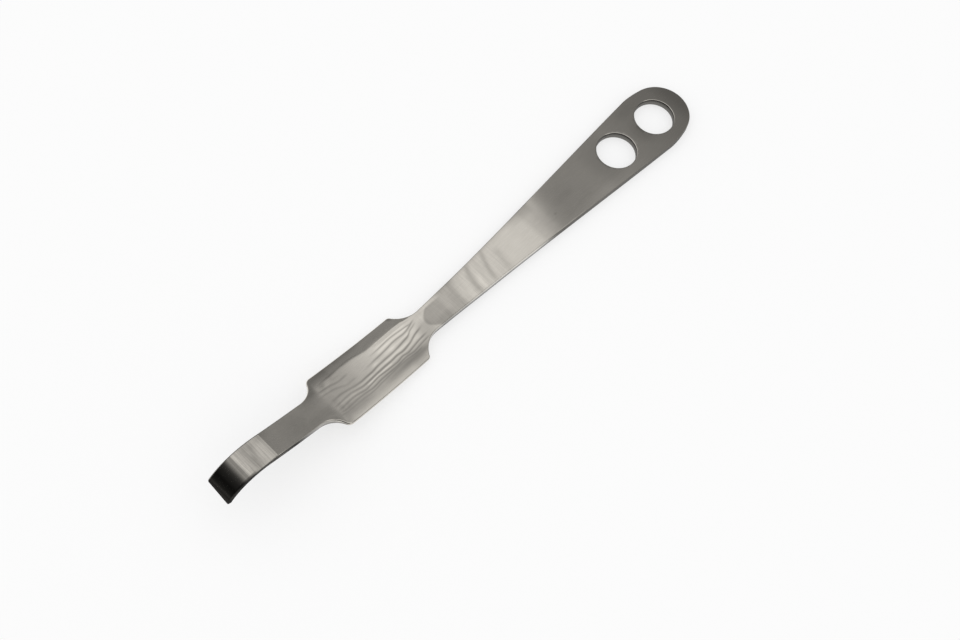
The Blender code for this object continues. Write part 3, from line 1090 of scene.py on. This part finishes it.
@dataclass(frozen=True)
class Elevator:
    """The instrument: its skin, its two holes and its finishes."""

    form: Form = field(default_factory=Form)
    hole_segments: int = 96
    cutter_reach: float = 1.0
    rim_share: float = 0.75
    rim_points: int = 7
    bore_rings: tuple[float, ...] = (0.62, 0.95, 1.4, 1.9)
    # Painted shade in the bores under their rims, and painted shade and highlight on the side walls and their rounded
    # edges, by distance along the spine.
    bore_tone: Path = ((0.12, 1), (0.24, 0.22), (0.5, 0.18), (0.75, 0.6), (1.1, 0.95), (2, 1.25))
    wall_tone: Path = ((84, 1), (88, 1.25), (104, 1.2), (125, 1), (191.5, 1), (193, 0.62), (201, 0.62),
                       (204, 0.4), (212, 0.4), (216, 1))
    edge_tone: Path = ((84, 1), (88, 1.35), (104, 1.3), (125, 1.08), (144, 1.05), (147, 1), (194.5, 1.15),
                       (196, 0.9), (197, 0.56), (198, 0.5), (203, 0.42), (206, 0.38), (218, 0.38), (221, 1))
    border: Ramp = (-0.45, -0.3)
    edge_depth: Ramp = (0.01, 0.08)
    wall_depth: Ramp = (0.34, 0.4)
    foot_share: Ramp = (0.5, 0.9)
    neck_foot_depth: Ramp = (0.9, 1.9)
    upper_side: Ramp = (-0.4, -0.25)
    foot: Zone = Zone(-0.62, ((191.5, 193), (208, 203)))
    neck_foot: Zone = Zone(-0.8, ((80, 90), (150, 144)))
    upper_border: Zone = Zone(-0.5, ((200, 206), (240, 234)))
    brightest: float = 1.55
    sharp_angle: float = math.radians(35.0)

    def hole_cutter(self, x: float) -> bpy.types.Object:
        """Makes a turned cutter for one hole, with a throat that rounds the rim.

        Args:
            x: Where the hole's middle is.

        Returns:
            The cutter, as a closed object.
        """
        handle = self.form.handle
        radius, top = handle.hole_diameter / 2, handle.thickness
        rounding, below = handle.hole_rounding, handle.hole_rounding_below
        flare, foot = radius + rounding, radius + below
        arc = [(math.sin(angle), math.cos(angle)) for angle in np.linspace(0.0, math.pi / 2, self.rim_points)]
        upper = [(flare - rounding * sine, top - rounding + rounding * cosine) for sine, cosine in arc]
        lower = [(foot - below * sine, below - below * cosine) for sine, cosine in arc[::-1]]
        profiles = {
            Surface.TOP: [(0.0, top + self.cutter_reach), (flare, top + self.cutter_reach), *upper],
            Surface.BORE: [upper[-1], *((radius, top - depth) for depth in self.bore_rings), lower[0]],
            Surface.UNDERSIDE: [*lower, (foot, -self.cutter_reach), (0.0, -self.cutter_reach)],
        }
        turns = [2.0 * math.pi * step / self.hole_segments for step in range(self.hole_segments)]
        sheet = SkinSheet()
        for surface, profile in profiles.items():
            rings = np.array([[(x + across * math.cos(turn), across * math.sin(turn), height)
                               for turn in [*turns, 0.0]] for across, height in profile])
            sheet.add_grid(sheet.add_points(rings), surface)
        mesh = sheet.mesh("hole_cutter")
        for _ in Surface:
            mesh.materials.append(None)
        return place_object("hole_cutter", mesh)

    def bore(self, piece: bpy.types.Object) -> None:
        """Cuts the two holes and applies the cuts."""
        spacing = self.form.handle.hole_spacing
        cutters = [self.hole_cutter(side * spacing / 2) for side in (-1, 1)]
        for cutter in cutters:
            cut = piece.modifiers.new("hole", "BOOLEAN")
            cut.operation, cut.solver, cut.object = "DIFFERENCE", "EXACT", cutter
        graph = bpy.context.evaluated_depsgraph_get()
        bored = bpy.data.meshes.new_from_object(piece.evaluated_get(graph))
        piece.modifiers.clear()
        piece.data = bored
        for cutter in cutters:
            bpy.data.objects.remove(cutter)

    def bore_shade(self, points: Array) -> Array:
        """Darkens the bores just under their upper rims, and leaves all other points alone."""
        handle = self.form.handle
        from_hole = np.hypot(np.abs(points[:, 0]) - handle.hole_spacing / 2, points[:, 1])
        near = from_hole < handle.hole_diameter / 2 + self.rim_share * handle.hole_rounding
        return np.where(near, follow(self.bore_tone, handle.thickness - points[:, 2]), 1.0)

    def wall_shade(self, points: Array, along: Array) -> Array:
        """Shades the wall that the picture shows: its foot along the neck, and all of it beyond the blade.

        Args:
            points: Points in the part's frame, in millimetres.
            along: Their distances along the spine.

        Returns:
            Factors for the steel's colour.
        """
        _, top, slope = self.form.spine(along)
        across = points[:, 1]
        depth = self.form.top_height(along, across) - (points[:, 2] - top) / np.cos(slope)
        half = follow(self.form.half_outline(), along)
        border = rise(across - half, *self.border)
        wall = border * rise(depth, *self.wall_depth)
        edge = border * rise(depth, *self.edge_depth) * (1.0 - wall)
        foot = self.foot.factor(along, across, rise(depth / self.form.thickness(along, across), *self.foot_share))
        shade = self.neck_foot.factor(along, across, border * rise(depth, *self.neck_foot_depth))
        shade *= towards(follow(self.wall_tone, along) * foot, wall) * towards(follow(self.edge_tone, along), edge)
        return shade * self.upper_border.factor(along, across, rise(-across - half, *self.upper_side))

    def store_painted_light_and_grain(self, mesh: bpy.types.Mesh, waves: Waves) -> None:
        """Stores the painted reflection, highlight and shade with the real specks as one brightness, and where the
        steel is ground across, at each point of the mesh.
        """
        points = np.empty(len(mesh.vertices) * 3)
        mesh.vertices.foreach_get("co", points)
        points = points.reshape(-1, 3) / MM
        along, across = self.form.unroll(points)
        # Painted reflection and highlight of the top, and painted shade on the walls and in the bores, in one
        # brightness.
        burnish = waves.burnish(along, across) * self.bore_shade(points) * self.wall_shade(points, along)
        for name, values in zip(MARKS, (np.clip(burnish, 0.0, self.brightest), waves.cross_grain(along, across))):
            mesh.attributes.new(name, "FLOAT", "POINT").data.foreach_set("value", values)

    def build(self) -> bpy.types.Object:
        """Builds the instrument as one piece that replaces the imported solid.

        Returns:
            The finished piece.
        """
        waves = Waves(self.form)
        mesh = ForgedSkin(self.form, waves).build("elevator_skin")
        for surface in Surface:
            mesh.materials.append(FINISHES[surface].material())
        piece = place_object("elevator_skin", mesh)
        self.bore(piece)
        mesh = piece.data
        mesh.name = "elevator_skin"
        mesh.shade_smooth()
        mesh.set_sharp_from_angle(angle=self.sharp_angle)
        self.store_painted_light_and_grain(mesh, waves)
        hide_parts(NODE_NAME)
        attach(piece, "root")
        return piece


def level(start: float, half: float, height: float) -> Corners:
    """Corners of a level sheet that runs in x from the start to the half width, and in y to both sides."""
    return [[(x, y, height) for y in (-half, half)] for x in (start, half)]


def stage_sheet(name: str, corners: Corners, material: bpy.types.Material, for_steel_only: bool) -> None:
    """Makes a sheet of the set and logs its name as stage.

    Args:
        name: The sheet's name.
        corners: Rows of points, in millimetres.
        material: How it looks.
        for_steel_only: Whether only mirroring surfaces see it.
    """
    sheet = SkinSheet()
    sheet.add_grid(sheet.add_points(np.array(corners)), Surface.TOP)
    mesh = sheet.mesh(name)
    mesh.materials.append(material)
    item = place_object(name, mesh)
    if for_steel_only:
        item.visible_camera = item.visible_diffuse = item.visible_shadow = False
        item.visible_transmission = item.visible_volume_scatter = False
    LOG.info("stage: %s", name)


@dataclass(frozen=True)
class Studio:
    """The floor, the even light round the instrument and the cards that the steel mirrors."""

    floor_half: float = 4000.0
    floor_gap: float = 0.02
    floor_colour: tuple[float, float, float, float] = (0.93, 0.93, 0.93, 1.0)
    floor_paper: float = 0.6
    ceiling_height: float = 306.0
    ceiling_half: float = 3000.0
    plain_light: float = 0.36
    plain_before: Ramp = (-420, -700)
    plain_beyond: Ramp = (250, 420)
    grey_light: Fade = (-255, -138, 0.19, 0.33)
    grey_dip: Fade = (-150, -118, 0, 0.035)
    panel_light: Fade = (30, -40, 0.66, 0.9)
    side_light: float = 0.82
    side_from: Ramp = (90, 150)
    panel_slant: float = 0.184
    panel_shift: float = 88.0
    panel_stop: float = 70.0
    panel_turn: Ramp = (-10, 160)
    panel_turn_by: float = 180.0
    panel_edge: Ramp = (-108, -98)
    panel_back: Ramp = (-330, -305)
    strip_slant: float = 0.3
    strip_shift: float = 20.0
    strip_side: Ramp = (-140, -90)
    strip_start: Ramp = (192, 196)
    beside_along: Ramp = (60, 160)
    beside_across: Ramp = (180, 300)
    beside_light: Fade = (180, 230, 0.12, 0.06)
    handle_card: tuple[Ramp, Ramp, Ramp] = ((-100, -70), (66, 52), (220, 120))
    hook_card: Ramp = (173, 181)
    card_light: Fade = (110, 170, 0.21, 0.14)
    card_dark_from: Ramp = (195, 212)
    dark_light: float = 0.045
    skirt_slant: float = 0.5
    skirt_light: Fade = (-500, 1500, 0.3, 0.045)
    far_stops: Path = ((194, 0.9), (207, 0.42), (239, 0.4), (254, 0.275), (274, 0.165), (296, 0.075),
                       (319, 0.044), (374, 0.022), (520, 0.007), (900, 0.02), (1300, 0.04))

    def floor_material(self) -> bpy.types.Material:
        """A pale floor that stays white to the camera and keeps the instrument's shadow."""
        material = node_material("pale_floor")
        nodes = material.node_tree.nodes
        board = NodeBoard(material.node_tree)
        shader = board.feed(nodes["Principled BSDF"], base_color=self.floor_colour, roughness=1.0,
                            specular_ior_level=0.0)
        paths = board.add("ShaderNodeLightPath").outputs
        seen = board.math("MAXIMUM", paths["Is Camera Ray"], paths["Is Glossy Ray"], paths["Is Transmission Ray"])
        white = board.add("ShaderNodeEmission").outputs[0]
        mixed = board.blend(board.math("MULTIPLY", seen, self.floor_paper), shader.outputs[0], white)
        board.feed(nodes["Material Output"], surface=mixed)
        return material

    def card_material(self, name: str, pattern: Pattern) -> bpy.types.Material:
        """Builds the material of a sheet that gives light in a pattern.

        Args:
            name: The material's name.
            pattern: Gives the light, and how far the sheet covers or nothing, from the x and y in millimetres.

        Returns:
            The material.
        """
        material = node_material(name)
        material.node_tree.nodes.clear()
        board = NodeBoard(material.node_tree)
        place = board.add("ShaderNodeNewGeometry").outputs["Position"]
        split = board.feed(board.add("ShaderNodeSeparateXYZ"), vector=place)
        x, y = (board.math("DIVIDE", split.outputs[index], MM) for index in (0, 1))
        light, cover = pattern(board, x, y)
        surface = board.feed(board.add("ShaderNodeEmission"), strength=light).outputs[0]
        if cover is not None:
            surface = board.blend(cover, board.add("ShaderNodeBsdfTransparent").outputs[0], surface)
        board.feed(board.add("ShaderNodeOutputMaterial"), surface=surface)
        return material

    def panels_above(self, board: NodeBoard, x: object, y: object) -> tuple[object, None]:
        """The bright and grey panels over the instrument, and the strip that darkens beyond the blade."""
        grey = board.math("SUBTRACT", board.ramp(x, *self.grey_light), board.ramp(x, *self.grey_dip))
        grey = board.mix(board.ramp(x, *self.plain_before), grey, self.plain_light)
        turn = board.math("MINIMUM", board.math("ADD", y, self.panel_shift), self.panel_stop)
        turned = board.math("MULTIPLY", board.ramp(y, *self.panel_turn), self.panel_turn_by)
        turn = board.math("MULTIPLY", board.math("SUBTRACT", turn, turned), self.panel_slant)
        edge = board.ramp(board.math("SUBTRACT", x, turn), *self.panel_edge)
        light = board.mix(board.ramp(y, *self.side_from), board.ramp(y, *self.panel_light), self.side_light)
        light = board.mix(board.math("MULTIPLY", edge, board.ramp(y, *self.panel_back)), grey, light)
        light = board.mix(board.ramp(x, *self.plain_beyond), light, self.plain_light)

        reach = self.far_stops[-1][0]
        shades = board.add("ShaderNodeValToRGB")
        marks = shades.color_ramp.elements
        for at, _ in self.far_stops[1:-1]:
            marks.new(at / reach)
        for mark, (at, shade) in zip(marks, self.far_stops):
            mark.position, mark.color = at / reach, (shade, shade, shade, 1.0)
        board.feed(shades, fac=board.math("DIVIDE", x, reach))
        across = board.math("ADD", y, board.math("MULTIPLY", x, self.strip_slant), self.strip_shift)
        strip = board.math("MULTIPLY", board.ramp(across, *self.strip_side), board.ramp(x, *self.strip_start))
        light = board.mix(strip, light, shades.outputs["Color"])
        beside = board.math("MULTIPLY", board.ramp(x, *self.beside_along), board.ramp(y, *self.beside_across))
        return board.mix(beside, light, board.ramp(x, *self.beside_light)), None

    def cards_beside(self, board: NodeBoard, x: object, y: object) -> tuple[object, object]:
        """The grey cards that lie beside the handle and the hook."""
        places = (x, x, board.math("ABSOLUTE", y, 0))
        handle = board.math("MULTIPLY", *(board.ramp(place, *ends) for place, ends in zip(places, self.handle_card)))
        light = board.mix(board.ramp(x, *self.card_dark_from), board.ramp(x, *self.card_light), self.dark_light)
        return light, board.math("MAXIMUM", handle, board.ramp(x, *self.hook_card))

    def cards_round(self, board: NodeBoard, x: object, y: object) -> tuple[object, None]:
        """The cards all round: grey, and dark in front of the hook."""
        forward = board.math("ADD", x, board.math("MULTIPLY", y, self.skirt_slant))
        return board.ramp(forward, *self.skirt_light), None

    def daylight(self) -> None:
        """Lights the scene evenly at a plain level."""
        world = bpy.data.worlds.new("even_light")
        world.use_nodes = True
        NodeBoard(world.node_tree).feed(world.node_tree.nodes["Background"], color=(1.0,) * 4, strength=1.0)
        world.cycles.sampling_method = "NONE"
        bpy.context.scene.world = world

    def build(self) -> None:
        """Sets up the floor, the cards and the light."""
        self.daylight()
        gap, half = self.floor_gap, self.ceiling_half
        turns = ((-half, -half), (half, -half), (half, half), (-half, half), (-half, -half))
        around = [[(x, y, height) for x, y in turns] for height in (-gap / 2, self.ceiling_height)]
        stage_sheet("floor", level(-self.floor_half, self.floor_half, -gap), self.floor_material(), False)
        for name, pattern, corners in (
                ("ceiling_cards", self.panels_above, level(-half, half, self.ceiling_height)),
                ("floor_cards", self.cards_beside, level(-100.0, half, -gap / 4)),
                ("skirt_cards", self.cards_round, around)):
            stage_sheet(name, corners, self.card_material(name, pattern), True)


@dataclass(frozen=True)
class PictureCamera:
    """The camera, at the photograph's viewing angle."""

    place: tuple[float, float, float] = (257.7771, 115.13, 393.6663)
    right: tuple[float, float, float] = (-0.68826298, 0.72045977, 0.08504118)
    up: tuple[float, float, float] = (-0.63076064, -0.6522007, 0.42044651)
    back: tuple[float, float, float] = (0.35837872, 0.23573707, 0.90332316)
    focal_length: float = 45.0
    sensor_width: float = 36.0
    clip: Ramp = (0.01, 50.0)

    def build(self) -> bpy.types.Object:
        """Places the camera and makes it the scene's own."""
        data = bpy.data.cameras.new("picture_camera")
        data.sensor_fit = "HORIZONTAL"
        data.sensor_width, data.lens = self.sensor_width, self.focal_length
        data.clip_start, data.clip_end = self.clip
        camera = place_object("picture_camera", data)
        turn = Matrix((self.right, self.up, self.back)).transposed()
        camera.matrix_world = Matrix.Translation(Vector(self.place) * MM) @ turn.to_4x4()
        bpy.context.scene.camera = camera
        return camera


def main() -> None:
    """Builds the studio, the instrument and the camera, and logs the piece's face count."""
    logging.basicConfig(level=logging.INFO, format="%(name)s: %(message)s")
    bpy.context.scene.view_settings.view_transform = "Standard"
    Studio().build()
    piece = Elevator().build()
    LOG.info("piece: %s, %d faces", piece.name, len(piece.data.polygons))
    camera = PictureCamera().build()
    LOG.info("camera: %s", camera.name)


if __name__ == "__main__":
    main()
